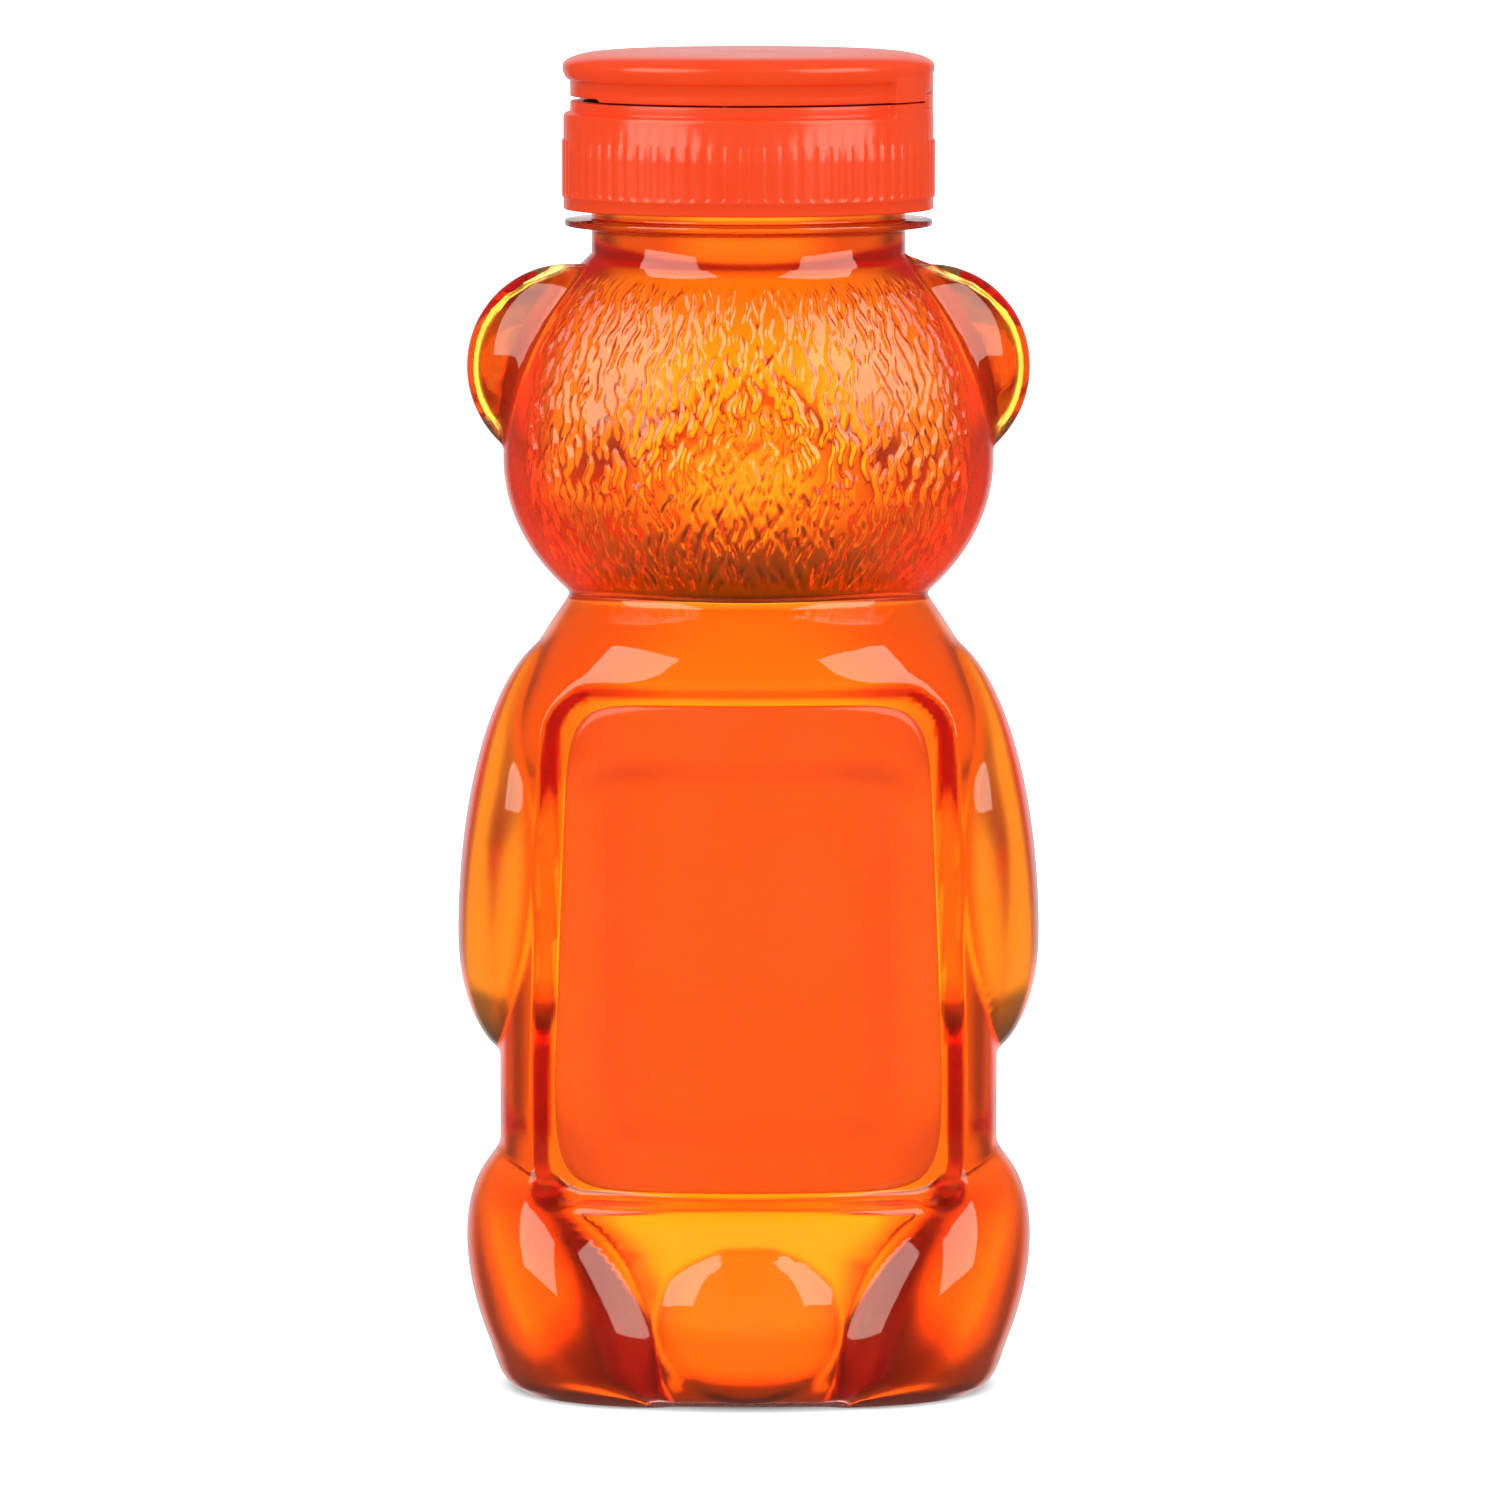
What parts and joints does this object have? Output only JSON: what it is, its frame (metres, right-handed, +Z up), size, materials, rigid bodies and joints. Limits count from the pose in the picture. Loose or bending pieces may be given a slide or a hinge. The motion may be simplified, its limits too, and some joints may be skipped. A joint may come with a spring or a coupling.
{
  "type": "honey bear bottle",
  "caption": "Clear bear-shaped squeeze bottle full of amber honey, with a recessed back label panel, an orange screw closure, a flip-top lid and a pouring spout.",
  "frame": {"origin": "on the standing plane, under the axis of the neck, in the middle of the outline seen from above", "axes": "+Z up along the neck, +Y out of the bear's back, +X towards the thumb notch, so the lid's hinge is on -X"},
  "size_m": [0.0642, 0.056, 0.1472],
  "materials": {
    "clear_pet": "gloss",
    "honey": "gloss",
    "label_film": "gloss",
    "liner_foam": "matte",
    "closure_plastic": "gloss"
  },
  "bodies": {
    "bottle": {"bottle": "clear_pet", "neck_finish": "clear_pet", "honey": "honey", "back_label": "label_film"},
    "liner": {"seal_liner": "liner_foam"},
    "closure": {"closure_base": "closure_plastic", "living_hinge": "closure_plastic"},
    "lid": {"flip_lid": "closure_plastic"}
  },
  "joints": [
    {"name": "closure_lift", "type": "slide", "parent": "bottle", "child": "liner", "axis": [0, 0, 1], "range_m": [0, 0.0106]},
    {"name": "closure_turn", "type": "hinge", "parent": "liner", "child": "closure", "pos_m": [0, 0, 0.13], "axis": [0, 0, 1], "range_deg": [0, 900]},
    {"name": "lid_hinge", "type": "hinge", "parent": "closure", "child": "lid", "pos_m": [-0.0203, 0, 0.1419], "axis": [0, -1, 0], "range_deg": [0, 150], "deforming": ["living_hinge"]}
  ],
  "couplings": [
    {"joint": "closure_lift", "follows": "closure_turn", "m_per_rad": 0.000673}
  ]
}
